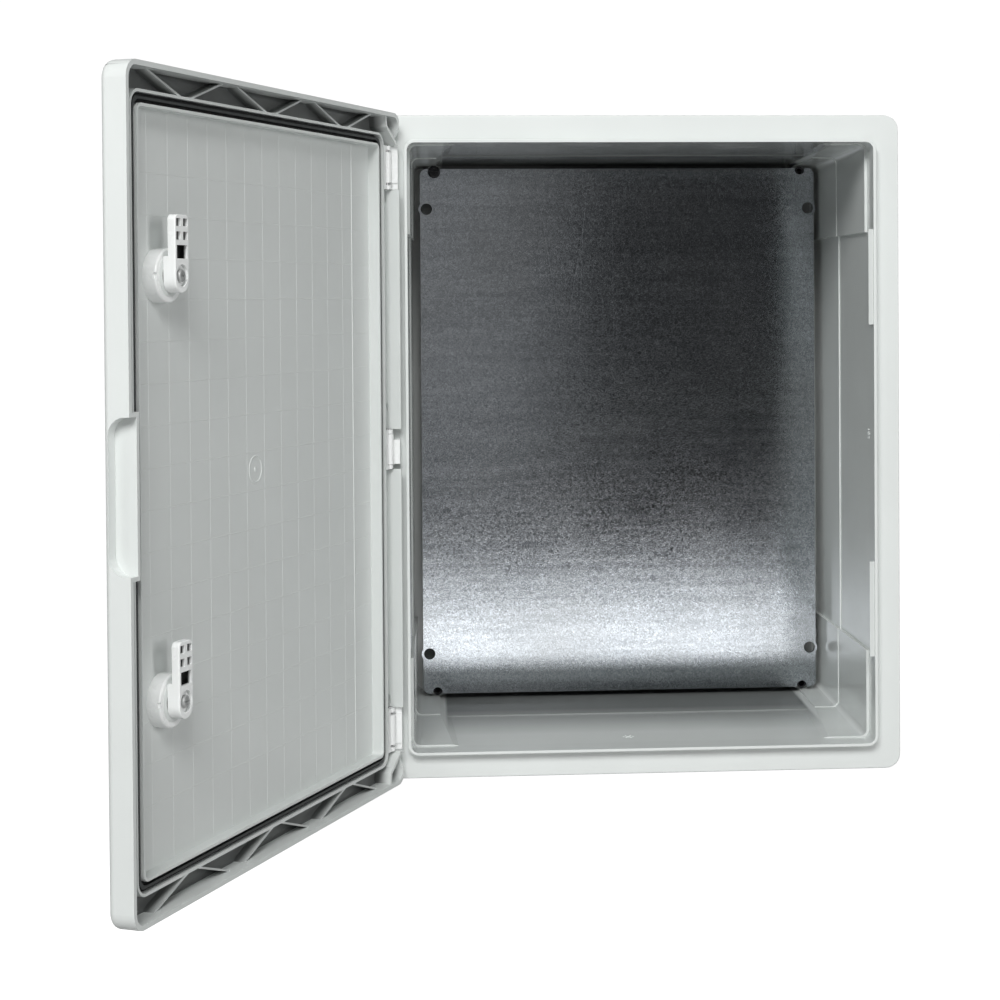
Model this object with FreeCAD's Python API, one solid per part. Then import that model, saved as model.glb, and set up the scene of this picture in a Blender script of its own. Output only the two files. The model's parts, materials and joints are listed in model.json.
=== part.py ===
"""Wall-mounted moulded enclosure for a dc combiner box, with a hinged door, two latches and a back plate.

Frame: X to the right, Z up, the front faces -Y. The origin is the centre of the back face that
meets the wall. The door is drawn closed and then swung open about its hinge by OPEN_ANGLE.
"""
import FreeCAD, Part
import math
import os

V = FreeCAD.Vector

# ---- Driving dimensions, in millimetres ----
WIDTH = 316.0            # across the flange and the door
HEIGHT = 400.0
FLANGE_Y = -180.0        # front face of the body flange; the wall face is y = 0
FLANGE_DEPTH = 12.0      # returned edge behind the flange face
FLANGE_WALL = 3.0
FLANGE_SKIRT = 2.6
CORNER_R = 9.0
BORDER = 15.0            # flange outside the sealing lip
LIP_THICK = 1.8
LIP_PROUD = 6.5
BODY_WALL = 3.2
BACK_WALL = 4.0
STEP_DEPTH = 12.0        # first inner step, behind the flange face
SHOULDER_DEPTH = 95.0    # second inner step, behind the flange face
PAD_X = 112.0            # corner pads on the top and bottom walls start here
PAD_Z = 129.0            # corner pads on the side walls start here
PAD_SLOPE_X = 11.0       # sloped side of the pads on the top and bottom walls
PAD_SLOPE_Z = 2.6

PLATE_W = 267.6
PLATE_H = 354.0
PLATE_FRONT_Y = -32.0
PLATE_THICK = 2.0
PLATE_SIDE_HOLE = (129.5, 150.0, 3.8)
PLATE_HOLE_RIM = 5.4     # the plate bulges to this radius round each side hole
PLATE_NOTCH = (124.2, 176.0, 3.3)
PLATE_SCREW_Z = 174.9

WALL_HOLE = (100.0, 150.0, 3.5)

OPEN_ANGLE = 112.4
HINGE_X = -153.6
HINGE_Y = -188.3
HINGE_Z = (168.0, 0.0, -168.0)
HINGE_NAMES = ("upper", "middle", "lower")
PIN_R = 1.5
PIN_CLEARANCE = 0.06
BARREL_R = 3.3
BARREL_LENGTH = 18.0
WEB_RANGE = ((-9.0, 9.0), (-9.0, 5.5), (-9.0, 9.0))
WEB_END_X = -146.6       # the bracket's web ends here, short of the closed gasket channel
WEB_STEP_Y = HINGE_Y + 2.3
SHELF_Y = HINGE_Y + 3.3    # behind the ears of the outer hinges, filling their windows
SHELF_HALF = 12.9
SHELF_X0 = HINGE_X + 0.3
EAR_GAP = (1.5, 0.3, 1.5)        # barrel end to the clip's ear
EAR_THICK = 2.4
EAR_R = 2.9
CLIP_X0 = HINGE_X + 4.1
CLIP_X1 = HINGE_X + 6.6
CLIP_END_Y = HINGE_Y + 1.8
TONGUE_X0 = HINGE_X + 0.6
TONGUE_X1 = HINGE_X + 3.0
TONGUE_Z = (-7.0, 1.0)
TONGUE_FIT = 0.05
BARB = 0.8
SWEEP_R = 8.0            # the hinge edge of the door stays within this radius of the pins

DOOR_GAP = 0.8           # door rim to flange
DOOR_FRONT_Y = -195.0
DOOR_WALL = 2.0
SKIRT_WALL = 2.5
CHANNEL_INSET = 12.2     # door edge to the outer face of the gasket channel
CHANNEL_WALL = 1.4
CHANNEL_GAP = 5.0
CHANNEL_OUTER_R = 8.0
CHANNEL_INNER_R = 4.0
CHANNEL_TOP_Y = -186.2
GASKET_TOP_Y = -187.0
CROWN_HEIGHT = 2.6

LATCH_X = 111.3
LATCH_Z = (101.3, -101.3)
LATCH_NAMES = ("upper", "lower")
NUT_R = 13.0
BARREL_THREAD_R = 10.0
ROTOR_R = 7.0
ROTOR_CLEARANCE = 0.06
SQUARE_HALF = 3.5
CAM_REACH = 29.0
CAM_HALF_WIDTH = 6.6

CORNER_WALL_X = -141.5
CORNER_WALL_Z0 = 182.2
CORNER_WALL_Z1 = 191.6
CORNER_WALL_Y = -182.4

PULL_HALF = 36.5
PULL_DEPTH = 6.5

HALF_W = WIDTH / 2
HALF_H = HEIGHT / 2
LIP_Y = FLANGE_Y - LIP_PROUD
LIP_HALF_W = HALF_W - BORDER
LIP_HALF_H = HALF_H - BORDER
INNER_HALF_W = LIP_HALF_W - LIP_THICK
INNER_HALF_H = LIP_HALF_H - LIP_THICK
RIM_Y = FLANGE_Y - DOOR_GAP
PANEL_Y = DOOR_FRONT_Y + DOOR_WALL
NUT_Y = PANEL_Y + 7.4
ORING_Y = -189.0
HUB_Y = NUT_Y + 0.35     # cam hub starts here, clear of the nut
CAM_FACE_Y = PANEL_Y + 14.2
CAM_BACK_Y = CAM_FACE_Y - 4.0
POCKET_DEPTH = 3.4
SEAT_DEPTH = 2.2

BOSS_R = 5.2             # bosses behind the mounting plate
BOSS_Y = -24.0
INSERT_R = 3.3
INSERT_Y1 = -14.0
SCREW_R = 2.0
LEDGE_Y1 = CAM_BACK_Y - 0.4      # catch ledges on the right lip, in front of the cams
LEDGE_Y0 = LEDGE_Y1 - 1.5
LEDGE_HALF = 29.0
PRESS_FIT = 0.02


# ---- Helpers ----
def outline(half_w, half_h, radius, y):
    """Rounded rectangle centred on the Y axis, as a wire in the plane y."""
    w = half_w - radius
    h = half_h - radius
    k = radius * math.sqrt(0.5)
    edges = []
    for sx, sz in ((1, 1), (-1, 1), (-1, -1), (1, -1)):
        centre = V(sx * w, y, sz * h)
        side = centre + V(sx * radius, 0, 0)
        top = centre + V(0, 0, sz * radius)
        middle = centre + V(sx * k, 0, sz * k)
        ends = (side, top) if sx * sz > 0 else (top, side)
        edges.append(Part.Arc(ends[0], middle, ends[1]).toShape())
    wires = []
    for i, arc in enumerate(edges):
        after = edges[(i + 1) % 4]
        wires.append(arc)
        wires.append(Part.makeLine(arc.Vertexes[1].Point, after.Vertexes[0].Point))
    return Part.Wire(wires)


def slab(half_w, half_h, radius, y0, y1):
    """Rounded rectangular block from y0 to y1."""
    return Part.Face(outline(half_w, half_h, radius, y0)).extrude(V(0, y1 - y0, 0))


def taper(front, back, y0, y1):
    """Rounded block that changes from the front section to the back section."""
    wires = [outline(*front, y0), outline(*back, y1)]
    return Part.makeLoft(wires, True, True)


def box(x0, x1, y0, y1, z0, z1):
    return Part.makeBox(x1 - x0, y1 - y0, z1 - z0, V(x0, y0, z0))


def rod_y(radius, y0, y1, x, z):
    return Part.makeCylinder(radius, y1 - y0, V(x, y0, z), V(0, 1, 0))


def rod_z(radius, z0, z1, x, y):
    return Part.makeCylinder(radius, z1 - z0, V(x, y, z0), V(0, 0, 1))


def tube_y(outer, inner, y0, y1, x, z):
    return rod_y(outer, y0, y1, x, z).cut(rod_y(inner, y0 - 1, y1 + 1, x, z))


def plate_prism(points, direction):
    """Straight-sided prism on a closed polygon."""
    return Part.Face(Part.makePolygon(points + [points[0]])).extrude(direction)


def joined(shapes):
    first = shapes[0]
    return first.multiFuse(shapes[1:]).removeSplitter() if len(shapes) > 1 else first


def soften(shape, radius, wanted):
    """Fillet the edges that wanted(edge) picks."""
    return shape.makeFillet(radius, [e for e in shape.Edges if wanted(e)])


def edges_on_y(y):
    def wanted(edge):
        return abs(edge.BoundBox.YMin - y) < 1e-4 and abs(edge.BoundBox.YMax - y) < 1e-4
    return wanted


def opened(shape):
    """Swing a piece from the closed door to where it stands with the door open."""
    turned = shape.copy()
    turned.rotate(V(HINGE_X, HINGE_Y, 0), V(0, 0, 1), -OPEN_ANGLE)
    return turned


def write(name, shape):
    shape.exportStep("parts/" + name + ".step")


# ---- Body ----
def flange():
    """Flange face with a returned edge, hollow behind, and gussets out to that edge."""
    back_y = FLANGE_Y + FLANGE_DEPTH
    skin = slab(HALF_W, HALF_H, CORNER_R, FLANGE_Y, back_y)
    skin = soften(skin, 0.8, edges_on_y(FLANGE_Y))
    inner = (HALF_W - FLANGE_SKIRT, HALF_H - FLANGE_SKIRT, CORNER_R - FLANGE_SKIRT)
    skin = skin.cut(slab(*inner, FLANGE_Y + FLANGE_WALL, back_y + 1))
    ribs = []
    wall_x = INNER_HALF_W + BODY_WALL - 1
    wall_z = INNER_HALF_H + BODY_WALL - 1
    y0 = FLANGE_Y + FLANGE_WALL - 0.5
    for z in (-125.0, -75.0, -25.0, 25.0, 75.0, 125.0):
        for side in (-1, 1):
            x0, x1 = sorted((side * wall_x, side * (HALF_W - 1)))
            ribs.append(box(x0, x1, y0, back_y - 1.5, z - 0.9, z + 0.9))
    for x in (-100.0, -50.0, 0.0, 50.0, 100.0):
        for side in (-1, 1):
            z0, z1 = sorted((side * wall_z, side * (HALF_H - 1)))
            ribs.append(box(x - 0.9, x + 0.9, y0, back_y - 1.5, z0, z1))
    return [skin] + ribs


def sloped_prism(x_out, x_slope, z_out, z_in, y0, y1):
    """Upright prism that widens from x_out at its ends to x_out + x_slope nearer the middle."""
    wide = x_out + x_slope
    points = [V(x_out, y0, z_out), V(wide, y0, z_in), V(wide, y0, -z_in), V(x_out, y0, -z_out),
              V(-x_out, y0, -z_out), V(-wide, y0, -z_in), V(-wide, y0, z_in), V(-x_out, y0, z_out)]
    return plate_prism(points, V(0, y1 - y0, 0))


def tub_cavity():
    """Inside of the tub: a straight mouth, two stepped bands, and pads left proud in the corners."""
    step_y = FLANGE_Y + STEP_DEPTH
    shoulder_y = FLANGE_Y + SHOULDER_DEPTH
    back_y = -BACK_WALL
    mouth = slab(INNER_HALF_W, INNER_HALF_H, 4.7, LIP_Y - 1, step_y)
    w, h = INNER_HALF_W, INNER_HALF_H
    front_band = taper((w, h, 4.5), (w - 0.5, h - 0.9, 4.5), step_y, shoulder_y)
    rear_band = taper((w - 1.2, h - 1.6, 4.5), (w - 1.9, h - 2.6, 4.5), shoulder_y, back_y)
    bands = front_band.fuse(rear_band)
    across = box(-HALF_W, HALF_W, step_y, 0, -PAD_Z, PAD_Z)
    upright = sloped_prism(PAD_X, PAD_SLOPE_X, h + 0.1, h - PAD_SLOPE_Z, step_y, 0)
    pad_front = taper((w - 1.6, h - 0.8, 4.0), (w - 2.3, h - 2.6, 4.0), step_y, shoulder_y)
    pad_rear = taper((w - 2.7, h - 3.1, 4.0), (w - 3.8, h - 4.4, 4.0), shoulder_y, back_y)
    return [mouth, bands.common(across), bands.common(upright), pad_front, pad_rear]


def body_shell():
    tub = taper((INNER_HALF_W + BODY_WALL, INNER_HALF_H + BODY_WALL, 7.5),
                (INNER_HALF_W + 0.7, INNER_HALF_H + 0.6, 7.5), FLANGE_Y, 0)
    lip = slab(LIP_HALF_W, LIP_HALF_H, 6.5, LIP_Y, FLANGE_Y + 1)
    lip = soften(lip, 0.4, edges_on_y(LIP_Y))
    body = joined(flange() + [tub, lip])
    for cavity in tub_cavity():
        body = body.cut(cavity)
    added = []
    for z in LATCH_Z:
        added.append(box(INNER_HALF_W - 2.8, INNER_HALF_W + 0.6, LEDGE_Y0, LEDGE_Y1,
                         z - LEDGE_HALF, z + LEDGE_HALF))
    for x, z in corners(PLATE_NOTCH[0], PLATE_SCREW_Z):
        added.append(rod_y(BOSS_R, BOSS_Y, -BACK_WALL + 0.5, x, z))
    body = joined([body] + added)
    holes = []
    for x, z in corners(PLATE_NOTCH[0], PLATE_SCREW_Z):
        holes.append(rod_y(INSERT_R + PRESS_FIT, PLATE_FRONT_Y, INSERT_Y1, x, z))
    for x, z in corners(WALL_HOLE[0], WALL_HOLE[1]):
        holes.append(rod_y(WALL_HOLE[2], -10, 1, x, z))
    for z in HINGE_Z:
        holes.append(box(TONGUE_X0 - TONGUE_FIT, TONGUE_X1 + TONGUE_FIT, FLANGE_Y - 1,
                         FLANGE_Y + FLANGE_WALL + 1,
                         z + TONGUE_Z[0] - TONGUE_FIT, z + TONGUE_Z[1] + TONGUE_FIT))
    return body.cut(Part.makeCompound(holes))


def corners(x, z):
    return [(sx * x, sz * z) for sx in (-1, 1) for sz in (1, -1)]


def mounting_plate():
    y0 = PLATE_FRONT_Y
    y1 = y0 + PLATE_THICK
    pieces = [slab(PLATE_W / 2, PLATE_H / 2, 4.5, y0, y1)]
    for x, z in corners(PLATE_SIDE_HOLE[0], PLATE_SIDE_HOLE[1]):
        pieces.append(rod_y(PLATE_HOLE_RIM, y0, y1, x, z))
    plate = joined(pieces)
    cuts = []
    for x, z in corners(PLATE_SIDE_HOLE[0], PLATE_SIDE_HOLE[1]):
        cuts.append(rod_y(PLATE_SIDE_HOLE[2], y0 - 1, y1 + 1, x, z))
    notch_x, notch_z, notch_r = PLATE_NOTCH
    for x, z in corners(notch_x, notch_z):
        cuts.append(rod_y(notch_r, y0 - 1, y1 + 1, x, z))
        z0, z1 = sorted((z, math.copysign(PLATE_H / 2 + 2, z)))
        cuts.append(box(x - notch_r, x + notch_r, y0 - 1, y1 + 1, z0, z1))
    return plate.cut(Part.makeCompound(cuts))


def plate_inserts():
    """Four threaded sleeves that stand out of the bosses; the plate rests on their ends."""
    y0 = PLATE_FRONT_Y + PLATE_THICK
    return Part.makeCompound([tube_y(INSERT_R, SCREW_R + 0.02, y0, INSERT_Y1, x, z)
                              for x, z in corners(PLATE_NOTCH[0], PLATE_SCREW_Z)])


def pan_screw(x, z, head_y, head_r, head_h, shank_r, shank_end):
    """Pan-head screw along +Y with a cross recess; head_y is the underside of the head."""
    head = rod_y(head_r, head_y - head_h, head_y, x, z)
    head = soften(head, head_h * 0.55, edges_on_y(head_y - head_h))
    shank = rod_y(shank_r, head_y - 0.5, shank_end, x, z)
    screw = head.fuse(shank).removeSplitter()
    half = head_r * 0.55
    slot = head_r * 0.11
    top = head_y - head_h
    for a, b in ((half, slot), (slot, half)):
        screw = screw.cut(box(x - a, x + a, top - 1, top + head_h * 0.6, z - b, z + b))
    return screw


def plate_screw():
    return pan_screw(-PLATE_NOTCH[0], PLATE_SCREW_Z, PLATE_FRONT_Y, 4.2, 2.8, SCREW_R, -18.0)


# ---- Hinges ----
def hinge_bracket(z, web_low, web_high):
    """Barrel on the body side, its web, and a barbed tongue that snaps through the flange.

    The outer hinges also have a shelf behind the ears; the middle one leaves its window open.
    """
    half = BARREL_LENGTH / 2
    low = z + web_low
    high = z + web_high
    barrel = rod_z(BARREL_R, z - half, z + half, HINGE_X, HINGE_Y)
    web = box(HINGE_X + 0.3, HINGE_X + BARREL_R, HINGE_Y, FLANGE_Y, low, high)
    block = box(HINGE_X + 0.3, WEB_END_X, WEB_STEP_Y, FLANGE_Y, low, high)
    back_y = FLANGE_Y + FLANGE_WALL + 0.2
    tongue = box(TONGUE_X0, TONGUE_X1, FLANGE_Y - 0.5, back_y + 2.0, z + TONGUE_Z[0], z + TONGUE_Z[1])
    barb = box(TONGUE_X0 - BARB, TONGUE_X0 + 0.1, back_y, back_y + 2.0, z + TONGUE_Z[0], z + TONGUE_Z[1])
    pieces = [barrel, web, block, tongue, barb]
    if z != 0:
        pieces.append(box(SHELF_X0, WEB_END_X, SHELF_Y, FLANGE_Y, z - SHELF_HALF, z + SHELF_HALF))
    bracket = joined(pieces)
    return bracket.cut(rod_z(PIN_R + PIN_CLEARANCE, z - 20, z + 20, HINGE_X, HINGE_Y))


def ear_span(gap):
    """Inner and outer face of the clip's ears, from the middle of the hinge."""
    low = BARREL_LENGTH / 2 + gap
    return low, low + EAR_THICK


def hinge_clip(z, gap):
    """Two ears that carry the pin on the door, joined by a wall on the side away from the edge."""
    ear_low, ear_high = ear_span(gap)
    parts = [box(CLIP_X0, CLIP_X1, PANEL_Y, CLIP_END_Y, z - ear_high, z + ear_high)]
    for low, high in ((z - ear_high, z - ear_low), (z + ear_low, z + ear_high)):
        parts.append(rod_z(EAR_R, low, high, HINGE_X, HINGE_Y))
        parts.append(box(HINGE_X, CLIP_X1, PANEL_Y, CLIP_END_Y, low, high))
    clip = joined(parts)
    return clip.cut(rod_z(PIN_R, z - 20, z + 20, HINGE_X, HINGE_Y))


def hinge_pin(z, gap):
    end = ear_span(gap)[1] + 0.6
    pin = rod_z(PIN_R, z - end, z + end, HINGE_X, HINGE_Y)
    return soften(pin, 0.4, lambda e: abs(e.BoundBox.ZMax - e.BoundBox.ZMin) < 1e-4)


# ---- Door ----
def channel_ring(inset, radius, y1):
    """One wall of the gasket channel; inset is from the door's edge to its outer face."""
    outer = slab(HALF_W - inset, HALF_H - inset, radius, PANEL_Y - 0.5, y1)
    inner = slab(HALF_W - inset - CHANNEL_WALL, HALF_H - inset - CHANNEL_WALL, radius - CHANNEL_WALL,
                 PANEL_Y - 1, y1 + 1)
    return outer.cut(inner)


def rib(start, end, half_thick, y1):
    """Upright wall on the inner panel between two points given as (x, z)."""
    dx = end[0] - start[0]
    dz = end[1] - start[1]
    length = math.hypot(dx, dz)
    nx = -dz / length * half_thick
    nz = dx / length * half_thick
    y0 = PANEL_Y - 0.5
    points = [V(start[0] + nx, y0, start[1] + nz), V(end[0] + nx, y0, end[1] + nz),
              V(end[0] - nx, y0, end[1] - nz), V(start[0] - nx, y0, start[1] - nz)]
    return plate_prism(points, V(0, y1 - y0, 0))


def truss_ribs():
    """Zigzag ribs between the skirt and the channel, along the top and the bottom of the door."""
    z_in = HALF_H - CHANNEL_INSET - 0.4
    z_out = HALF_H - SKIRT_WALL + 0.4
    ribs = []
    for centre in (-89.5, 1.7, 92.9):
        for side in (-1, 1):
            for up in (-1, 1):
                near = (centre + side * 5.0, up * z_in)
                far = (centre + side * 38.2, up * z_out)
                ribs.append(rib(near, far, 0.5, CHANNEL_TOP_Y))
    return ribs


def corner_walls():
    """Bent wall that closes off a pocket in both corners on the hinge side."""
    x_edge = -HALF_W + SKIRT_WALL - 0.4
    z_edge = HALF_H - SKIRT_WALL + 0.4
    walls = []
    for up in (-1, 1):
        bend = (CORNER_WALL_X, up * CORNER_WALL_Z1)
        walls.append(rib((x_edge, up * CORNER_WALL_Z0), bend, 0.9, CORNER_WALL_Y))
        walls.append(rib(bend, (CORNER_WALL_X + 1.0, up * z_edge), 0.9, CORNER_WALL_Y))
        walls.append(rod_y(0.9, PANEL_Y - 0.5, CORNER_WALL_Y, *bend))
    return walls


def pull_cut():
    """Finger recess in the free edge: open at the rim, with round corners at the front."""
    r = 9.0
    k = r * (1 - math.sqrt(0.5))
    y_rim = RIM_Y + 2
    y_end = DOOR_FRONT_Y + 2.8
    x = HALF_W - PULL_DEPTH
    p = [V(x, y_rim, -PULL_HALF), V(x, y_end + r, -PULL_HALF), V(x, y_end, -PULL_HALF + r),
         V(x, y_end, PULL_HALF - r), V(x, y_end + r, PULL_HALF), V(x, y_rim, PULL_HALF)]
    low = Part.Arc(p[1], V(x, y_end + k, -PULL_HALF + k), p[2]).toShape()
    high = Part.Arc(p[3], V(x, y_end + k, PULL_HALF - k), p[4]).toShape()
    lines = [Part.makeLine(p[0], p[1]), low, Part.makeLine(p[2], p[3]), high,
             Part.makeLine(p[4], p[5]), Part.makeLine(p[5], p[0])]
    return Part.Face(Part.Wire(lines)).extrude(V(PULL_DEPTH + 3, 0, 0))


def hinge_side_cuts():
    """Rounded rim along the hinge side, its corner notches, and the hinge windows and slots."""
    x0 = -HALF_W - 1
    x1 = -HALF_W + SKIRT_WALL + 0.05
    end = HALF_H + 1
    rim = box(x0, HINGE_X, HINGE_Y + 3, RIM_Y + 1, -end, end)
    cuts = [rim.cut(rod_z(SWEEP_R, -end - 1, end + 1, HINGE_X, HINGE_Y))]
    for up in (-1, 1):
        points = [V(x0, RIM_Y + 1, up * 193.0), V(x0, RIM_Y - 6.2, up * 181.5), V(x0, RIM_Y + 1, up * 181.5)]
        cuts.append(plate_prism(points, V(x1 - x0, 0, 0)))
    for z, gap in zip(HINGE_Z, EAR_GAP):
        reach = ear_span(gap)[1] + 0.3
        cuts.append(box(x0, x1, HINGE_Y - BARREL_R - 0.6, RIM_Y + 1, z - reach, z + reach))
    slot_y0 = PANEL_Y + 0.8
    for z0, z1 in ((12.6, 27.4), (147.6, 153.6), (-153.6, -147.6)):
        cuts.append(box(x0, x1, slot_y0, slot_y0 + 3.2, z0, z1))
    return cuts


def door_panel():
    shell = slab(HALF_W, HALF_H, CORNER_R, DOOR_FRONT_Y, RIM_Y)
    shell = soften(shell, 4.0, edges_on_y(DOOR_FRONT_Y))
    hollow = slab(HALF_W - SKIRT_WALL, HALF_H - SKIRT_WALL, CORNER_R - SKIRT_WALL, PANEL_Y, RIM_Y + 1)
    hollow = soften(hollow, 1.8, edges_on_y(PANEL_Y))
    shell = shell.cut(hollow)
    inner_inset = CHANNEL_INSET + CHANNEL_WALL + CHANNEL_GAP
    added = [channel_ring(CHANNEL_INSET, CHANNEL_OUTER_R, CHANNEL_TOP_Y),
             channel_ring(inner_inset, CHANNEL_INNER_R, CHANNEL_TOP_Y)]
    added += truss_ribs() + corner_walls()
    pull_x = HALF_W - PULL_DEPTH
    added.append(box(pull_x - 2.2, HALF_W - 1, PANEL_Y - 0.5, RIM_Y, -PULL_HALF - 2.2, PULL_HALF + 2.2))
    door = joined([shell] + added)
    cuts = [pull_cut()] + hinge_side_cuts()
    for z in LATCH_Z:
        cuts.append(rod_y(BARREL_THREAD_R + 0.2, DOOR_FRONT_Y - 1, PANEL_Y + 1, LATCH_X, z))
    for cut in cuts:
        door = door.cut(cut)
    return door


def gasket_ring(step, y0, y1):
    """Closed strip that fills the channel; step draws both its sides in."""
    outer_inset = CHANNEL_INSET + CHANNEL_WALL + PRESS_FIT + step
    inner_inset = CHANNEL_INSET + CHANNEL_WALL + CHANNEL_GAP - PRESS_FIT - step
    outer_r = CHANNEL_OUTER_R - CHANNEL_WALL - PRESS_FIT - step
    inner_r = CHANNEL_INNER_R + PRESS_FIT + step
    outer = slab(HALF_W - outer_inset, HALF_H - outer_inset, outer_r, y0, y1)
    return outer.cut(slab(HALF_W - inner_inset, HALF_H - inner_inset, inner_r, y0 - 1, y1 + 1))


def door_gasket():
    """Foamed sealing strip in the channel, with a narrow crown down its middle."""
    strip = gasket_ring(0, PANEL_Y, GASKET_TOP_Y - CROWN_HEIGHT)
    crown = gasket_ring(1.85, PANEL_Y + 1, GASKET_TOP_Y)
    return strip.fuse(crown).removeSplitter()


# ---- Latches ----
def latch_housing(z):
    """Round head on the outside of the door and a threaded barrel through it."""
    head = rod_y(15.0, DOOR_FRONT_Y - 3.6, DOOR_FRONT_Y - 0.8, LATCH_X, z)
    head = soften(head, 1.2, edges_on_y(DOOR_FRONT_Y - 3.6))
    barrel = rod_y(BARREL_THREAD_R, DOOR_FRONT_Y - 1, NUT_Y + 0.2, LATCH_X, z)
    housing = head.fuse(barrel).removeSplitter()
    bore = rod_y(ROTOR_R + ROTOR_CLEARANCE, DOOR_FRONT_Y - 5, NUT_Y + 1, LATCH_X, z)
    sink = rod_y(8.8, DOOR_FRONT_Y - 5, DOOR_FRONT_Y - 1.8, LATCH_X, z)
    return housing.cut(bore.fuse(sink))


def latch_seal(z):
    return tube_y(14.0, BARREL_THREAD_R + 0.05, DOOR_FRONT_Y - 0.8, DOOR_FRONT_Y, LATCH_X, z)


def latch_nut(z):
    """Plain drum nut on the inside of the door, with a rounded edge and two spanner notches."""
    drum = rod_y(NUT_R, PANEL_Y, NUT_Y, LATCH_X, z)
    drum = soften(drum, 1.0, edges_on_y(NUT_Y))
    for side in (-1, 1):
        x0, x1 = sorted((side * (NUT_R - 1.2), side * (NUT_R + 1)))
        drum = drum.cut(box(LATCH_X + x0, LATCH_X + x1, NUT_Y - 1.6, NUT_Y + 1, z - 1.4, z + 1.4))
    return drum.cut(rod_y(BARREL_THREAD_R + PRESS_FIT, PANEL_Y - 1, NUT_Y + 1, LATCH_X, z))


def latch_rotor(z):
    """Key insert: a round spindle with a double-bit key hole and a square end for the cam."""
    spindle = rod_y(ROTOR_R, DOOR_FRONT_Y - 2.0, NUT_Y - 0.3, LATCH_X, z)
    head = rod_y(8.5, DOOR_FRONT_Y - 3.2, DOOR_FRONT_Y - 1.9, LATCH_X, z)
    square = box(LATCH_X - SQUARE_HALF, LATCH_X + SQUARE_HALF, NUT_Y - 1, CAM_FACE_Y - SEAT_DEPTH,
                 z - SQUARE_HALF, z + SQUARE_HALF)
    rotor = joined([spindle, head, square])
    key_y = DOOR_FRONT_Y + 1.5
    ring = rod_y(5.0, DOOR_FRONT_Y - 4, key_y, LATCH_X, z)
    post = rod_y(2.1, DOOR_FRONT_Y - 4, key_y + 1, LATCH_X, z)
    wings = box(LATCH_X - 4.0, LATCH_X + 4.0, DOOR_FRONT_Y - 4, key_y + 1, z - 0.8, z + 0.8)
    rotor = rotor.cut(ring.cut(post.fuse(wings)))
    groove = tube_y(ROTOR_R + 1, 5.2, ORING_Y - 1.0, ORING_Y + 1.0, LATCH_X, z)
    return rotor.cut(groove).cut(rod_y(1.6, NUT_Y - 4, CAM_FACE_Y, LATCH_X, z))


def latch_o_ring(z):
    return Part.makeTorus(6.1, 0.86, V(LATCH_X, ORING_Y, z), V(0, 1, 0))


def cam_outline(y, z):
    """Tongue: square corners softened at the tip, a half round at the pivot."""
    w = CAM_HALF_WIDTH
    low = z - 1.6
    r = 2.8
    k = r * (1 - math.sqrt(0.5))
    top = z + CAM_REACH
    a = V(LATCH_X - w, y, low)
    b = V(LATCH_X - w, y, top - r)
    c = V(LATCH_X - w + r, y, top)
    d = V(LATCH_X + w - r, y, top)
    e = V(LATCH_X + w, y, top - r)
    f = V(LATCH_X + w, y, low)
    edges = [Part.makeLine(a, b),
             Part.Arc(b, V(LATCH_X - w + k, y, top - k), c).toShape(),
             Part.makeLine(c, d),
             Part.Arc(d, V(LATCH_X + w - k, y, top - k), e).toShape(),
             Part.makeLine(e, f),
             Part.Arc(f, V(LATCH_X, y, low - w), a).toShape()]
    return Part.Wire(edges)


def latch_cam(z):
    """Moulded cam: a hub, a tongue with coring pockets, and a round seat for its screw."""
    full = Part.Face(cam_outline(HUB_Y, z)).extrude(V(0, CAM_FACE_Y - HUB_Y, 0))
    behind = box(LATCH_X - 8, LATCH_X + 8, HUB_Y - 1, CAM_BACK_Y, z + 9.2, z + CAM_REACH + 1)
    cam = full.cut(behind)
    cam = soften(cam, 0.5, edges_on_y(CAM_FACE_Y))
    floor_y = CAM_FACE_Y - POCKET_DEPTH
    pockets = []
    for low, high in ((23.5, 27.2), (17.0, 20.9)):
        for x0, x1 in ((1.2, 5.4), (-5.4, -1.2)):
            pockets.append(box(LATCH_X + x0, LATCH_X + x1, floor_y, CAM_FACE_Y + 1, z + low, z + high))
    pockets.append(box(LATCH_X - 5.0, LATCH_X + 5.0, floor_y, CAM_FACE_Y + 1, z + 8.1, z + 14.5))
    pockets.append(rod_y(5.4, CAM_FACE_Y - SEAT_DEPTH, CAM_FACE_Y + 1, LATCH_X, z))
    cam = cam.cut(Part.makeCompound(pockets))
    half = SQUARE_HALF + PRESS_FIT
    return cam.cut(box(LATCH_X - half, LATCH_X + half, HUB_Y - 1, CAM_FACE_Y, z - half, z + half))


def latch_washer(z):
    y0 = CAM_FACE_Y - SEAT_DEPTH
    return tube_y(4.9, 1.7, y0, y0 + 0.7, LATCH_X, z)


def latch_screw(z):
    """Cam screw, driven from the inside towards the front; its head faces +Y."""
    under = CAM_FACE_Y - 1.5
    head = rod_y(3.1, under, under + 1.8, LATCH_X, z)
    head = soften(head, 0.8, edges_on_y(under + 1.8))
    shank = rod_y(1.58, NUT_Y - 3.5, under + 0.5, LATCH_X, z)
    screw = head.fuse(shank).removeSplitter()
    for a, b in ((1.9, 0.4), (0.4, 1.9)):
        screw = screw.cut(box(LATCH_X - a, LATCH_X + a, under + 0.8, under + 3, z - b, z + b))
    return screw


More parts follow.
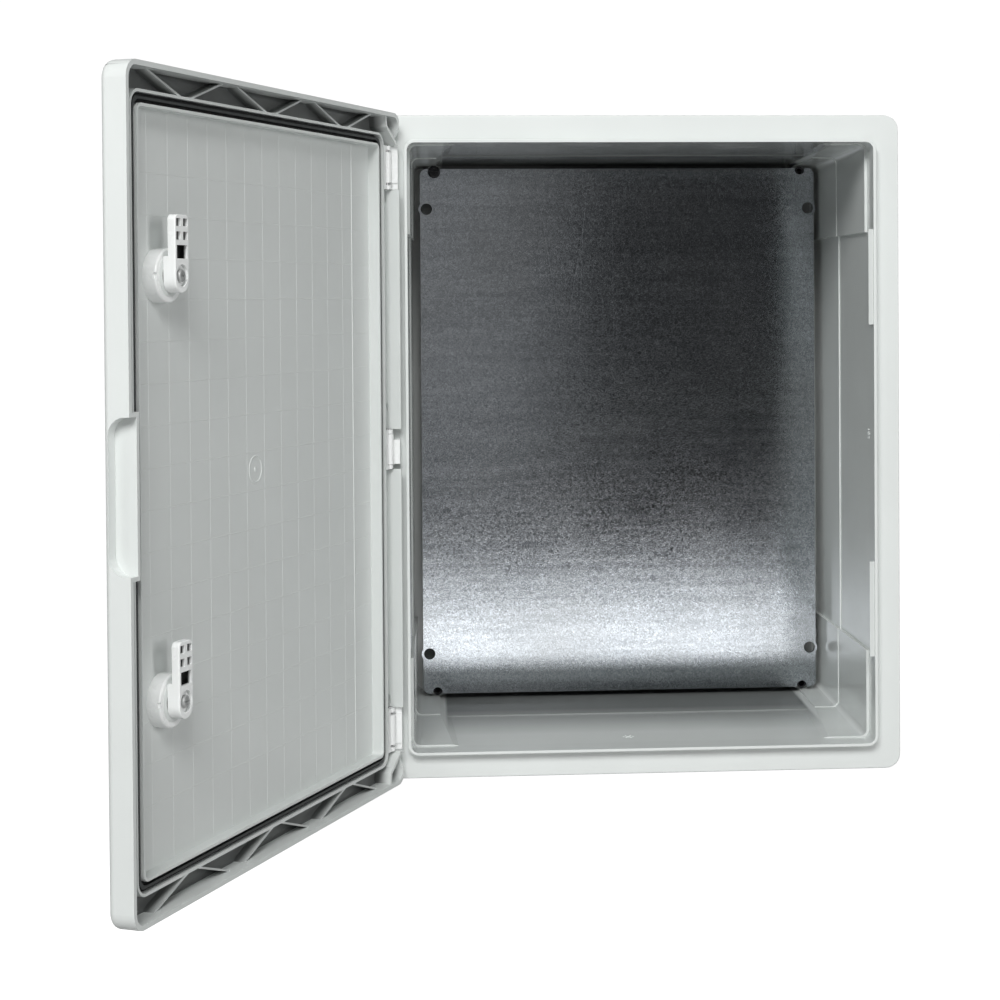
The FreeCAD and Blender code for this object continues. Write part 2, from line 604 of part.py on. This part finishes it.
# ---- Write every piece ----
def main():
    os.makedirs("parts", exist_ok=True)
    write("body_shell", body_shell())
    write("mounting_plate", mounting_plate())
    write("plate_inserts", plate_inserts())
    write("plate_screw", plate_screw())
    for name, z, web, gap in zip(HINGE_NAMES, HINGE_Z, WEB_RANGE, EAR_GAP):
        write(name + "_hinge_bracket", hinge_bracket(z, *web))
        write(name + "_hinge_clip", opened(hinge_clip(z, gap)))
        write(name + "_hinge_pin", opened(hinge_pin(z, gap)))
    write("door_panel", opened(door_panel()))
    write("door_gasket", opened(door_gasket()))
    makers = {"housing": latch_housing, "seal": latch_seal, "nut": latch_nut, "rotor": latch_rotor,
              "o_ring": latch_o_ring, "cam": latch_cam,
              "washer": latch_washer, "screw": latch_screw}
    for name, z in zip(LATCH_NAMES, LATCH_Z):
        for piece, maker in makers.items():
            write(name + "_latch_" + piece, opened(maker(z)))


main()
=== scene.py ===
"""Studio picture of the hinged enclosure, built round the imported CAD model.

Everything is in metres in the part's own frame: X to the right, Z up, the front faces -Y.
Pieces on the door are made for the closed door and then swung open with it.
"""

import json
import math

import bmesh
import bpy
from mathutils import Matrix, Vector


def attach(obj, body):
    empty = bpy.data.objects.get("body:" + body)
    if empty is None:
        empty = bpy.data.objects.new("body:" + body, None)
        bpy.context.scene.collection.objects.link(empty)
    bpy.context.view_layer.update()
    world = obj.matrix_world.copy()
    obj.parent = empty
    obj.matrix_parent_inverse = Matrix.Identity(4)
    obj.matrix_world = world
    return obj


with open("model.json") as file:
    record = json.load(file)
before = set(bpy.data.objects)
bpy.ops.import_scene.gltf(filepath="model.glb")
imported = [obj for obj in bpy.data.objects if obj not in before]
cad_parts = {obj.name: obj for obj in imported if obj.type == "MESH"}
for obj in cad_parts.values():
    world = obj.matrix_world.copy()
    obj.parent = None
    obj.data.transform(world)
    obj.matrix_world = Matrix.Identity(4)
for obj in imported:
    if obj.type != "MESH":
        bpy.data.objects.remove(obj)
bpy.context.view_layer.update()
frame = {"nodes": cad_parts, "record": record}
nodes = frame["nodes"]
hinge = next(j for j in frame["record"]["behaviour"]["joints"] if j["name"] == "door_hinge")

MM = 0.001
OPEN_ANGLE = math.radians(112.4)
HINGE_AT = Vector((hinge["pos_m"][0], hinge["pos_m"][1], 0))
SWING = (Matrix.Translation(HINGE_AT) @ Matrix.Rotation(-OPEN_ANGLE, 4, "Z")
         @ Matrix.Translation(-HINGE_AT))

# The closed door
DOOR_INNER_Y = -193.0 * MM       # inner face
INNER_FACE_SLACK = 0.4 * MM      # the outside of the door lies further out than this
PANEL_HALF_W = 137.6 * MM        # inside the gasket channel
PANEL_HALF_H = 179.2 * MM
CELL_Z = 188.5 * MM              # the ribbed cells lie between this height
SKIRT_Z = 197.45 * MM            # and the inside of the door's rim
SKIRT_X = 155.4 * MM
CELL_SHADE_Y = (-190.5 * MM, -184.2 * MM)
CROWN_Y = -187.35 * MM           # only the top of the sealing strip lies above this
CROWN_FADE = 0.3 * MM

# Latches
LATCH_X = 111.3 * MM
LATCH_Z = (101.3 * MM, -101.3 * MM)
NUT_R = 13.2 * MM                # just wider than the latch nuts
CAM_FACE_Y = -178.8 * MM
POCKET_HALF_W = 5.45 * MM
POCKET_Z = (8.05 * MM, 27.25 * MM)
POCKET_SHADE = (2.0 * MM, 0.9 * MM)
POCKET_DEPTH = 3.6 * MM

# Inside the tub
TUB_HALF_W = 141.25 * MM         # inside the sealing lip
TUB_HALF_H = 183.25 * MM
RIGHT_WALL_X = 136.0 * MM        # the right wall, beyond this, isn't shaded
FLOOR_Z = -177.0 * MM
PAD_X = 118.0 * MM               # corner pads start here and take little of the shade
PAD_SHADE = 0.25
BACK_SKIN_Y = -1.5 * MM          # the outside of the back wall lies behind this
SHADE_REAR_Y = -70 * MM
UPPER_SHADE_Y = -182 * MM
LOWER_SHADE_Y = -140 * MM

# Fine moulded lines and marks
WALL_SKIN = 0.11 * MM            # height of the grid lines
LINE_HALF_W = 0.36 * MM
SUNK = 0.02 * MM                 # pieces start this far inside the wall they stand on
GRID_STEP = 20.0 * MM
GRID_COLUMNS = 12
GRID_ROWS = 8                    # above and below the middle
GRID_FIRST_X = 119.2 * MM
BOLD_LINE_X = -114.0 * MM
BOLD_HALF_W = 0.7 * MM
MARK_HEIGHT = 0.3 * MM
BUTTON_HEIGHT = 0.5 * MM
DOOR_GATE_AT = (10.0 * MM, DOOR_INNER_Y, 1.0 * MM)
WALL_GATE_AT = (141.2 * MM, -170.5 * MM, 5.0 * MM)
FLOOR_GATE_AT = (-7.0 * MM, -153.0 * MM, -183.02 * MM)

# Stage: each softbox is a name, place, target, width, height and power in watts
STAGE_Z = -1.0
WORLD_TO_CAMERA = 1.05
WORLD_LEVEL = 0.05
SOFTBOXES = (
    ("key", (-0.5, -2.2, 1.4), (0, -0.15, 0), 1.4, 0.9, 55.0),
    ("low_front", (0.0, -2.6, -0.72), (0, -0.1, -0.1), 1.3, 0.46, 5.0),
    ("middle", (-0.1, -2.6, 0.10), (0, -0.1, 0), 0.42, 0.9, 0.32),
    ("left", (-2.2, -1.0, 0.3), (-0.1, -0.3, 0), 1.0, 1.4, 8.0),
    ("right", (1.9, -1.5, 0.4), (-0.2, -0.3, 0), 0.8, 1.4, 15.5),
    ("behind", (0.3, 2.3, 0.9), (0, 0, 0), 1.6, 1.2, 45.0),
)

# Camera
CAMERA_AT = (-0.1316, -1.4286, 0.0891)
CAMERA_TURN = -3.893             # degrees
CAMERA_TILT = 89.0
CAMERA_ROLL = -0.375
CAMERA_LENS = 74.506
CAMERA_SHIFT = (-0.065, -0.165)


# ---- Shader building ----
class Shader:
    """A node material with short calls for the nodes this scene uses."""

    def __init__(self, name):
        self.material = bpy.data.materials.new(name)
        self.material.use_nodes = True
        self.tree = self.material.node_tree
        self.surface = self.tree.nodes["Principled BSDF"]
        self.place = self.node("ShaderNodeTexCoord").outputs["Object"]

    def node(self, kind, **values):
        made = self.tree.nodes.new(kind)
        for key, value in values.items():
            setattr(made, key, value)
        return made

    def feed(self, socket, value):
        """Link a socket to another one, or set it to a constant."""
        if isinstance(value, bpy.types.NodeSocket):
            self.tree.links.new(value, socket)
        else:
            socket.default_value = value

    def maths(self, operation, a, b=0.0, clamp=False):
        made = self.node("ShaderNodeMath", operation=operation, use_clamp=clamp)
        self.feed(made.inputs[0], a)
        self.feed(made.inputs[1], b)
        return made.outputs[0]

    def stretched(self, scale):
        made = self.node("ShaderNodeMapping")
        self.feed(made.inputs["Vector"], self.place)
        made.inputs["Scale"].default_value = scale
        return made.outputs[0]

    def noise(self, scale, detail=3.0, rough=0.55, vector=None, warp=0.0):
        made = self.node("ShaderNodeTexNoise")
        self.feed(made.inputs["Vector"], vector or self.place)
        made.inputs["Scale"].default_value = scale
        made.inputs["Detail"].default_value = detail
        made.inputs["Roughness"].default_value = rough
        made.inputs["Distortion"].default_value = warp
        return made.outputs["Fac"]

    def cells(self, scale, vector=None, feature="F1", output="Distance"):
        made = self.node("ShaderNodeTexVoronoi", feature=feature)
        self.feed(made.inputs["Vector"], vector or self.place)
        made.inputs["Scale"].default_value = scale
        return made.outputs[output]

    def span(self, value, low, high, start=0.0, end=1.0):
        """Map start..end of a value onto low..high, clamped."""
        made = self.node("ShaderNodeMapRange")
        self.feed(made.inputs["Value"], value)
        for key, number in (("From Min", start), ("From Max", end), ("To Min", low), ("To Max", high)):
            self.feed(made.inputs[key], number)
        return made.outputs["Result"]

    def blend(self, factor, a, b, mode="MIX"):
        made = self.node("ShaderNodeMix", data_type="RGBA", blend_type=mode)
        self.feed(made.inputs["Factor"], factor)
        for key, colour in (("A", a), ("B", b)):
            socket = next(s for s in made.inputs if s.name == key and s.type == "RGBA")
            self.feed(socket, colour)
        return next(s for s in made.outputs if s.type == "RGBA")

    def axis(self, index):
        made = self.node("ShaderNodeSeparateXYZ")
        self.feed(made.inputs[0], self.place)
        return made.outputs[index]

    def along(self, direction, offset):
        """Distance of the shaded point along a fixed direction, plus an offset."""
        made = self.node("ShaderNodeVectorMath", operation="DOT_PRODUCT")
        self.feed(made.inputs[0], self.place)
        made.inputs[1].default_value = direction
        return self.maths("ADD", made.outputs["Value"], offset)

    def closed(self):
        """Where the point lies when the door is shut, as x, y and z sockets."""
        across = Vector((math.cos(OPEN_ANGLE), -math.sin(OPEN_ANGLE), 0))
        outward = Vector((math.sin(OPEN_ANGLE), math.cos(OPEN_ANGLE), 0))
        x = self.along(across, HINGE_AT.x - across.dot(HINGE_AT))
        y = self.along(outward, HINGE_AT.y - outward.dot(HINGE_AT))
        return x, y, self.axis(2)

    def both(self, *masks):
        """Product of masks."""
        whole = masks[0]
        for mask in masks[1:]:
            whole = self.maths("MULTIPLY", whole, mask)
        return whole

    def bump(self, height, distance, strength=1.0, normal=None):
        made = self.node("ShaderNodeBump")
        self.feed(made.inputs["Height"], height)
        made.inputs["Distance"].default_value = distance
        made.inputs["Strength"].default_value = strength
        if normal is not None:
            self.feed(made.inputs["Normal"], normal)
        return made.outputs[0]

    def set(self, key, value):
        self.feed(self.surface.inputs[key], value)

    def tint(self, mask, colour):
        """Blend the base colour towards another one where the mask is high."""
        base = self.surface.inputs["Base Color"].links[0].from_socket
        self.set("Base Color", self.blend(mask, base, colour))


def rgb(red, green, blue):
    """Linear colour from display values out of 255."""
    def linear(c):
        c /= 255
        return c / 12.92 if c <= 0.04045 else ((c + 0.055) / 1.055) ** 2.4
    return (linear(red), linear(green), linear(blue), 1.0)


def dimmed(colour, factor):
    return tuple(c * factor for c in colour[:3]) + (1.0,)


SHELL_GREY = rgb(219, 223, 221)
TUB_SHADE = rgb(66, 69, 69)
CELL_SHADE = rgb(62, 64, 64)
# painted shade: near-black base colour put down in the latch cam pockets
POCKET_PAINTED_SHADE = rgb(24, 25, 25)
CAM_WHITE = rgb(246, 248, 247)
CLIP_WHITE = rgb(240, 242, 241)


def moulded(name, colour, rough, mottle=0.03, grain=0.012 * MM):
    """Injection-moulded plastic: faint flow mottling, fine surface grain, uneven gloss."""
    s = Shader(name)
    cloud = s.noise(14.0, 2.0)
    fine = s.noise(2600.0, 2.0)
    s.set("Base Color", s.blend(s.span(cloud, 0, 1, 0.3, 0.7), colour, dimmed(colour, 1 - mottle)))
    s.set("Roughness", s.span(s.noise(60.0, 3.0), rough - 0.05, rough + 0.06, 0.3, 0.7))
    s.set("Normal", s.bump(fine, grain, 0.6))
    s.surface.inputs["IOR"].default_value = 1.5
    return s


def shell_plastic():
    """Body: satin outside, glossy inside the tub, where base colour also stands in for shade."""
    s = moulded("shell_plastic", SHELL_GREY, 0.34)
    x = s.maths("ABSOLUTE", s.axis(0))
    z = s.maths("ABSOLUTE", s.axis(2))
    y = s.axis(1)
    inside = s.both(s.maths("LESS_THAN", x, TUB_HALF_W), s.maths("LESS_THAN", z, TUB_HALF_H),
                    s.maths("LESS_THAN", y, BACK_SKIN_Y))
    side = s.maths("LESS_THAN", s.axis(0), RIGHT_WALL_X)
    bottom = s.maths("LESS_THAN", s.axis(2), FLOOR_Z)
    upper = s.span(y, 0.34, 0.80, UPPER_SHADE_Y, SHADE_REAR_Y)
    lower = s.span(y, 0.0, 0.80, LOWER_SHADE_Y, SHADE_REAR_Y)
    amount = s.maths("ADD", s.both(upper, s.maths("SUBTRACT", 1.0, bottom)), s.both(lower, bottom))
    plain = s.span(x, 1.0, PAD_SHADE, PAD_X, PAD_X + 2 * MM)
    s.tint(s.both(inside, side, amount, plain), TUB_SHADE)
    satin = s.span(s.noise(60.0, 3.0), 0.29, 0.40, 0.3, 0.7)
    gloss = s.span(s.noise(30.0, 3.0), 0.09, 0.17, 0.3, 0.7)
    mix = s.node("ShaderNodeMix", data_type="FLOAT")
    s.feed(mix.inputs[0], inside)
    s.feed(mix.inputs[2], satin)
    s.feed(mix.inputs[3], gloss)
    s.set("Roughness", mix.outputs[0])
    return s.material


def door_plastic():
    """Door: as the body outside; a darker base stands in for shade down in its ribbed cells."""
    s = moulded("door_plastic", SHELL_GREY, 0.34)
    x, y, z = s.closed()
    height = s.maths("ABSOLUTE", z)
    within = s.both(s.maths("GREATER_THAN", height, CELL_Z), s.maths("LESS_THAN", height, SKIRT_Z))
    cell = s.both(within, s.maths("LESS_THAN", s.maths("ABSOLUTE", x), SKIRT_X),
                  s.maths("GREATER_THAN", y, DOOR_INNER_Y - INNER_FACE_SLACK))
    s.tint(s.both(cell, s.span(y, 0.88, 0.0, *CELL_SHADE_Y)), CELL_SHADE)
    return s.material


def cam_plastic(name, z_at):
    """Latch cam: white, with a dark base standing in for shade down in its pockets."""
    s = moulded(name, CAM_WHITE, 0.24)
    x, y, z = s.closed()
    up = s.maths("SUBTRACT", z, z_at)
    narrow = s.maths("LESS_THAN", s.maths("ABSOLUTE", s.maths("SUBTRACT", x, LATCH_X)), POCKET_HALF_W)
    pocket = s.both(narrow, s.maths("GREATER_THAN", up, POCKET_Z[0]), s.maths("LESS_THAN", up, POCKET_Z[1]))
    deep, shallow = (CAM_FACE_Y - depth for depth in POCKET_SHADE)
    low = s.span(y, 1.0, 0.0, deep, shallow)
    front = s.maths("GREATER_THAN", y, CAM_FACE_Y - POCKET_DEPTH)
    s.tint(s.both(pocket, low, front), POCKET_PAINTED_SHADE)
    return s.material


def galvanised():
    """Zinc-coated sheet: wormy fine spangle, bright flecks, rolled streaks, clouds and scratches."""
    s = Shader("galvanised")
    worm = s.noise(640.0, 3.0, 0.65, warp=1.6)
    speck = s.cells(430.0)
    streak = s.noise(210.0, 4.0, 0.65, s.stretched((0.05, 1.0, 1.0)))
    cloud = s.noise(11.0, 3.0, 0.6)
    scratch = s.cells(38.0, s.stretched((1.0, 1.0, 0.16)), "DISTANCE_TO_EDGE")
    tone = s.maths("ADD", s.maths("MULTIPLY", worm, 0.8), s.maths("MULTIPLY", streak, 0.2))
    base = s.blend(s.span(tone, 0, 1, 0.40, 0.62), rgb(138, 143, 148), rgb(200, 205, 210))
    base = s.blend(s.span(cloud, 0.0, 0.30, 0.42, 0.72), base, rgb(150, 151, 150))
    base = s.blend(s.span(speck, 0.55, 0.0, 0.05, 0.16), base, rgb(232, 236, 240))
    s.set("Base Color", base)
    s.set("Metallic", 1.0)
    s.set("Roughness", s.span(s.maths("ADD", worm, s.maths("MULTIPLY", cloud, 0.5)), 0.06, 0.17, 0.5, 0.95))
    fine = s.maths("ADD", s.maths("MULTIPLY", worm, 0.9), s.maths("MULTIPLY", streak, 0.15))
    height = s.maths("ADD", fine, s.span(scratch, -0.25, 0.0, 0.0, 0.012))
    s.set("Normal", s.bump(height, 0.045 * MM, 0.7))
    return s.material


def foam(name):
    """Black foamed sealing strip: fine open cells, quite matt, greyer along its top as a painted highlight.
    """
    s = Shader(name)
    cell = s.cells(1500.0)
    dark = s.blend(s.noise(300.0), rgb(9, 10, 11), rgb(24, 25, 26))
    _x, y, _z = s.closed()
    # painted highlight: the top of the strip is made greyer where its ridge would catch the light
    painted_crown_highlight = s.span(y, 0.0, 0.85, CROWN_Y, CROWN_Y + CROWN_FADE)
    s.set("Base Color", s.blend(painted_crown_highlight, dark, rgb(66, 69, 69)))
    s.set("Roughness", s.span(s.noise(400.0), 0.5, 0.75))
    s.set("Normal", s.bump(cell, 0.10 * MM, 0.6))
    return s.material


def bare_metal(name, colour, rough, metallic=1.0):
    """Plated fasteners: turned marks and slightly uneven plating."""
    s = Shader(name)
    marks = s.noise(1200.0, 3.0, 0.6)
    s.set("Base Color", s.blend(s.span(s.noise(220.0), 0, 1, 0.3, 0.7), colour, dimmed(colour, 0.8)))
    s.set("Metallic", metallic)
    s.set("Roughness", s.span(marks, rough - 0.08, rough + 0.1, 0.3, 0.7))
    s.set("Normal", s.bump(marks, 0.02 * MM, 0.5))
    return s.material


FINISHES = {
    "grey_plastic": shell_plastic(),
    "white_plastic": moulded("clip_plastic", CLIP_WHITE, 0.26).material,
    "black_plastic": moulded("key_plastic", rgb(36, 37, 38), 0.42, 0.2).material,
    "black_foam": foam("sealing_foam"),
    "galvanised_steel": galvanised(),
    "steel_screw": bare_metal("plated_screw", rgb(196, 198, 197), 0.42, 0.45),
    "dark_screw": bare_metal("blackened_screw", rgb(60, 60, 62), 0.3),
    "steel_pin": bare_metal("drawn_pin", rgb(200, 200, 200), 0.22),
}
OWN_LOOKS = {
    "door_panel": door_plastic(),
    "upper_latch_cam": cam_plastic("upper_cam_plastic", LATCH_Z[0]),
    "lower_latch_cam": cam_plastic("lower_cam_plastic", LATCH_Z[1]),
}


def dress_nodes():
    """Give every CAD node its own look, or else the finish of its material slot."""
    for part in frame["record"]["subparts"]:
        mesh = nodes[part["node"]].data
        mesh.materials.clear()
        mesh.materials.append(OWN_LOOKS.get(part["node"], FINISHES[part["material_slot"]]))


# ---- Fine moulded details ----
def piece(name, build, slot, body, matrix=None):
    """Make one mesh piece with build(bmesh), place it and hang it on its body."""
    mesh = bpy.data.meshes.new(name)
    made = bmesh.new()
    build(made)
    if matrix is not None:
        bmesh.ops.transform(made, matrix=matrix, verts=made.verts)
    bmesh.ops.recalc_face_normals(made, faces=made.faces)
    made.to_mesh(mesh)
    made.free()
    mesh.materials.append(FINISHES[slot])
    thing = bpy.data.objects.new(name, mesh)
    bpy.context.collection.objects.link(thing)
    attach(thing, body)
    return thing


def ridge(made, start, end, half_width, base_y, height):
    """Fine raised line on a face of constant y, with sloped sides; points are (x, z)."""
    along = Vector((end[0] - start[0], 0, end[1] - start[1])).normalized()
    across = Vector((-along.z, 0, along.x))
    low = []
    high = []
    for point, way in ((start, 1), (end, -1)):
        at = Vector((point[0], base_y, point[1]))
        for side in (1, -1):
            low.append(made.verts.new(at + across * side * half_width))
            top = at + across * side * half_width * 0.45 + along * way * half_width * 0.5
            high.append(made.verts.new(top + Vector((0, height, 0))))
    order = (0, 2, 3, 1)
    made.faces.new([high[i] for i in order])
    for a, b in zip(order, order[1:] + order[:1]):
        made.faces.new([low[a], low[b], high[b], high[a]])


def clear_runs(fixed, along_z, low, high):
    """Runs of a grid line that miss the latch nuts."""
    blocked = []
    for z in LATCH_Z:
        offset = fixed - (LATCH_X if along_z else z)
        if abs(offset) < NUT_R:
            half = math.sqrt(NUT_R ** 2 - offset ** 2)
            middle = z if along_z else LATCH_X
            blocked.append((middle - half, middle + half))
    runs = []
    at = low
    for a, b in sorted(blocked):
        if a > at:
            runs.append((at, a))
        at = max(at, b)
    if at < high:
        runs.append((at, high))
    return runs


def grid_lines(made):
    """Square grid moulded into the inside of the door, with one bolder upright line."""
    base = DOOR_INNER_Y - SUNK
    for k in range(GRID_COLUMNS):
        x = GRID_FIRST_X - k * GRID_STEP
        for low, high in clear_runs(x, True, -PANEL_HALF_H, PANEL_HALF_H):
            ridge(made, (x, low), (x, high), LINE_HALF_W, base, WALL_SKIN)
    for k in range(-GRID_ROWS, GRID_ROWS):
        z = (k + 0.5) * GRID_STEP
        for low, high in clear_runs(z, False, -PANEL_HALF_W, PANEL_HALF_W):
            ridge(made, (low, z), (high, z), LINE_HALF_W, base, WALL_SKIN)
    ridge(made, (BOLD_LINE_X, -PANEL_HALF_H), (BOLD_LINE_X, PANEL_HALF_H), BOLD_HALF_W, base, MARK_HEIGHT)


def ring(made, radius, half_width, height, matrix, count=48):
    """Low round bead; it lies in the plane z = 0 of the given matrix."""
    section = ((-half_width, -SUNK), (-half_width * 0.5, height), (half_width * 0.5, height),
               (half_width, -SUNK))
    loops = []
    for i in range(count):
        a = 2 * math.pi * i / count
        loops.append([made.verts.new(matrix @ Vector(((radius + dx) * math.cos(a),
                                                      (radius + dx) * math.sin(a), dz)))
                      for dx, dz in section])
    for i in range(count):
        for j in range(len(section) - 1):
            following = loops[(i + 1) % count]
            made.faces.new([loops[i][j], following[j], following[j + 1], loops[i][j + 1]])


def blob(made, radius, height, matrix, count=24):
    """Low domed button in the plane z = 0 of the given matrix."""
    rows = ((1.0, -SUNK), (0.85, height * 0.6), (0.5, height * 0.95))
    loops = []
    for size, dz in rows:
        loop = []
        for i in range(count):
            a = 2 * math.pi * i / count
            point = Vector((radius * size * math.cos(a), radius * size * math.sin(a), dz))
            loop.append(made.verts.new(matrix @ point))
        loops.append(loop)
    for lower, upper in zip(loops, loops[1:]):
        for i in range(count):
            k = (i + 1) % count
            made.faces.new([lower[i], lower[k], upper[k], upper[i]])
    made.faces.new(loops[-1])


def facing(at, normal):
    """Matrix whose z axis points along normal, at the given point."""
    return Matrix.Translation(Vector(at)) @ Vector(normal).to_track_quat("Z", "Y").to_matrix().to_4x4()


def star_gate(made, at, normal):
    """Mould gate mark: a button with short arms round it."""
    blob(made, 1.5 * MM, BUTTON_HEIGHT, facing(at, normal))
    for i in range(6):
        turn = facing(at, normal) @ Matrix.Rotation(math.pi * i / 3, 4, "Z")
        blob(made, 0.55 * MM, 0.35 * MM, turn @ Matrix.Translation((2.9 * MM, 0, 0)), 12)


def details():
    """Small moulded marks on the door and in the tub."""
    piece("door_grid", grid_lines, "grey_plastic", "door", SWING)

    def door_gate(made):
        ring(made, 7.0 * MM, 0.5 * MM, MARK_HEIGHT, facing(DOOR_GATE_AT, (0, 1, 0)))
        blob(made, 1.6 * MM, BUTTON_HEIGHT, facing(DOOR_GATE_AT, (0, 1, 0)))
    piece("door_gate_mark", door_gate, "grey_plastic", "door", SWING)

    def wall_gates(made):
        star_gate(made, WALL_GATE_AT, (-1, 0, 0))
        star_gate(made, FLOOR_GATE_AT, (0, 0, 1))
    piece("tub_gate_marks", wall_gates, "grey_plastic", "enclosure")


# ---- Stage, lights and camera ----
def stage():
    """Pale floor well below the wall-hung box."""
    bpy.ops.mesh.primitive_plane_add(size=30.0, location=(0, 0, STAGE_Z))
    floor = bpy.context.object
    floor.name = "floor"
    s = Shader("floor")
    s.set("Base Color", (0.5, 0.5, 0.5, 1.0))
    s.set("Roughness", 0.9)
    path = s.node("ShaderNodeLightPath")
    s.set("Emission Color", (1.0, 1.0, 1.0, 1.0))
    s.set("Emission Strength", path.outputs["Is Camera Ray"])
    floor.data.materials.append(s.material)


def backdrop():
    """White to the camera, dim grey as light."""
    world = bpy.data.worlds.new("studio")
    world.use_nodes = True
    tree = world.node_tree
    sky = tree.nodes["Background"]
    sky.inputs["Color"].default_value = (1.0, 1.0, 1.0, 1.0)
    path = tree.nodes.new("ShaderNodeLightPath")
    level = tree.nodes.new("ShaderNodeMapRange")
    tree.links.new(path.outputs["Is Camera Ray"], level.inputs["Value"])
    level.inputs["To Min"].default_value = WORLD_LEVEL
    level.inputs["To Max"].default_value = WORLD_TO_CAMERA
    tree.links.new(level.outputs["Result"], sky.inputs["Strength"])
    bpy.context.scene.world = world


def softbox(name, at, target, width, height, power):
    light = bpy.data.lights.new(name, "AREA")
    light.shape = "RECTANGLE"
    light.size = width
    light.size_y = height
    light.energy = power
    lamp = bpy.data.objects.new(name, light)
    lamp.location = at
    lamp.rotation_euler = (Vector(target) - Vector(at)).to_track_quat("-Z", "Y").to_euler()
    bpy.context.collection.objects.link(lamp)


def lights():
    for box in SOFTBOXES:
        softbox(*box)


def camera():
    """The photograph's viewpoint: a long lens, a little left of the box and above its middle."""
    data = bpy.data.cameras.new("camera")
    data.sensor_width = 36.0
    data.lens = CAMERA_LENS
    data.shift_x, data.shift_y = CAMERA_SHIFT
    eye = bpy.data.objects.new("camera", data)
    turn = Matrix.Rotation(math.radians(CAMERA_TURN), 4, "Z")
    tilt = Matrix.Rotation(math.radians(CAMERA_TILT), 4, "X")
    roll = Matrix.Rotation(math.radians(CAMERA_ROLL), 4, "Z")
    eye.matrix_world = Matrix.Translation(CAMERA_AT) @ turn @ tilt @ roll
    bpy.context.collection.objects.link(eye)
    bpy.context.scene.camera = eye


dress_nodes()
details()
stage()
backdrop()
lights()
camera()
bpy.context.scene.view_settings.view_transform = "Standard"
